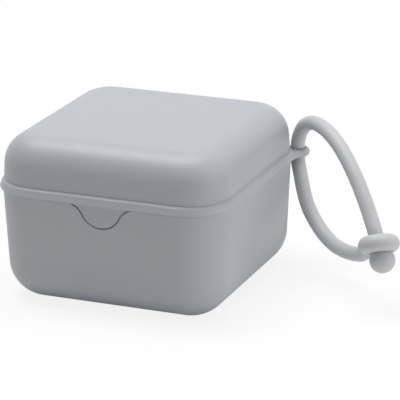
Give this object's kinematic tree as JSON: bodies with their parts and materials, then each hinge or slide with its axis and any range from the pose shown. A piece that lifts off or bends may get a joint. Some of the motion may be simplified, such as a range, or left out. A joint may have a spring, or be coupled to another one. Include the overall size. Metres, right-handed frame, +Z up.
{
  "type": "pacifier sterilizer case",
  "caption": "Square soft-cornered plastic case for sterilizing and carrying pacifiers, with a hinged lid, a bell-shaped front tab and a looped silicone strap.",
  "frame": {"origin": "centre of the flat underside that the case stands on", "axes": "front with the tab is -Y, hinge is +Y, up is +Z, strap lug at the +X +Y corner"},
  "size_m": [0.1361, 0.0918, 0.0595],
  "materials": {
    "case_plastic": "smooth satin polypropylene",
    "strap_silicone": "soft matte silicone"
  },
  "bodies": {
    "base_body": {"base": "case_plastic", "hinge_pin": "case_plastic"},
    "lid_body": {"lid": "case_plastic"},
    "strap_body": {"strap_cord": "strap_silicone", "strap_eye": "strap_silicone", "strap_button": "strap_silicone"}
  },
  "joints": [
    {"name": "lid_hinge", "type": "hinge", "parent": "base_body", "child": "lid_body", "pos_m": [0, 0.046, 0.039], "axis": [-1, 0, 0], "range_deg": [0, 110]},
    {"name": "strap_swing", "type": "hinge", "parent": "lid_body", "child": "strap_body", "pos_m": [0.0413, 0.0396, 0.0402], "axis": [0, 0, 1], "range_deg": [0, 90]}
  ]
}
